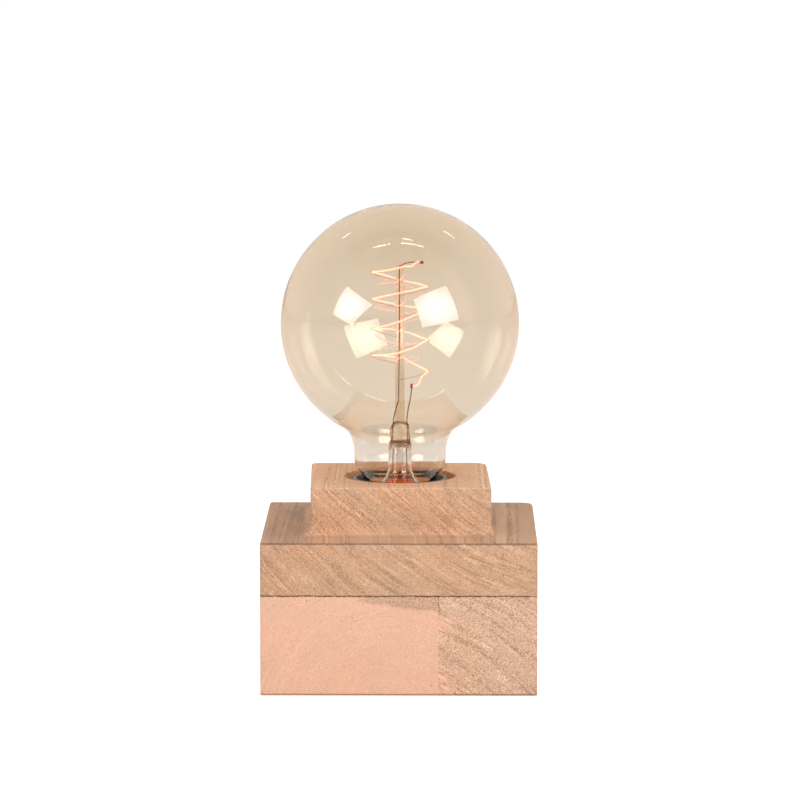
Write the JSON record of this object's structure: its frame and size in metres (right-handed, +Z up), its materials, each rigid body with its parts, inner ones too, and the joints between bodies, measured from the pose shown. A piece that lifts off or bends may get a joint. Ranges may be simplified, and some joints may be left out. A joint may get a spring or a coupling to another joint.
{
  "type": "table lamp",
  "caption": "Stepped solid-wood block with a sunken E27 lampholder and a bare globe bulb whose spiral filament shows; the bulb unscrews.",
  "frame": {"origin": "middle of the underside, on the table, on the bulb's axis", "axes": "+Z up along the bulb's axis, -Y towards the front, where the vertical glue joint shows right of the middle, +Y towards the cable hole, +X to the right"},
  "size_m": [0.108, 0.108, 0.1881],
  "materials": {
    "wood_upper": "sanded, oiled matt",
    "wood_lower_left": "sanded, matt",
    "wood_lower_right": "sanded, matt",
    "felt": "soft felt",
    "bush_plastic": "matt",
    "zinc_steel": "zinc plated",
    "nickel_shell": "satin nickel",
    "black_insulator": "satin",
    "brass": "bare",
    "ceramic": "glazed ceramic",
    "solder": "tinned",
    "black_glass": "black glass",
    "cap_metal": "nickel-washed brass",
    "cement": "basing cement",
    "amber_glass": "polished, amber coated",
    "clear_glass": "polished",
    "support_wire": "bare wire",
    "lead_wire": "oxidised wire",
    "filament": "glowing"
  },
  "bodies": {
    "base": {"top_block": "wood_upper", "lower_block_left": "wood_lower_left", "lower_block_right": "wood_lower_right", "felt_pad": "felt", "cable_bush": "bush_plastic", "fixing_nipple": "zinc_steel", "nipple_nut": "zinc_steel", "nut_washer": "zinc_steel", "collar_set_screw": "zinc_steel", "holder_dome": "nickel_shell", "holder_sleeve": "nickel_shell", "insulating_sleeve": "black_insulator", "holder_screw_shell": "brass", "contact_block": "ceramic", "centre_contact": "brass", "contact_rivets": "brass", "terminal_plates": "brass", "terminal_screws": "zinc_steel"},
    "bulb_tip": {"cap_contact": "solder"},
    "bulb": {"cap_insulator": "black_glass", "cap_shell": "cap_metal", "cap_cement": "cement", "glass_envelope": "amber_glass", "stem": "clear_glass", "exhaust_tube": "clear_glass", "support_rod": "clear_glass", "support_hooks": "support_wire", "lead_wire_long": "lead_wire", "lead_wire_short": "lead_wire", "filament": "filament"}
  },
  "joints": [
    {"name": "bulb_lift", "type": "slide", "parent": "base", "child": "bulb_tip", "axis": [0, 0, 1], "range_m": [0, 0.03267]},
    {"name": "bulb_turn", "type": "hinge", "parent": "bulb_tip", "child": "bulb", "pos_m": [0, 0, 0.0502], "axis": [0, 0, 1], "range_deg": [0, 3240]}
  ],
  "couplings": [
    {"joint": "bulb_lift", "follows": "bulb_turn", "m_per_rad": 0.00057751}
  ]
}
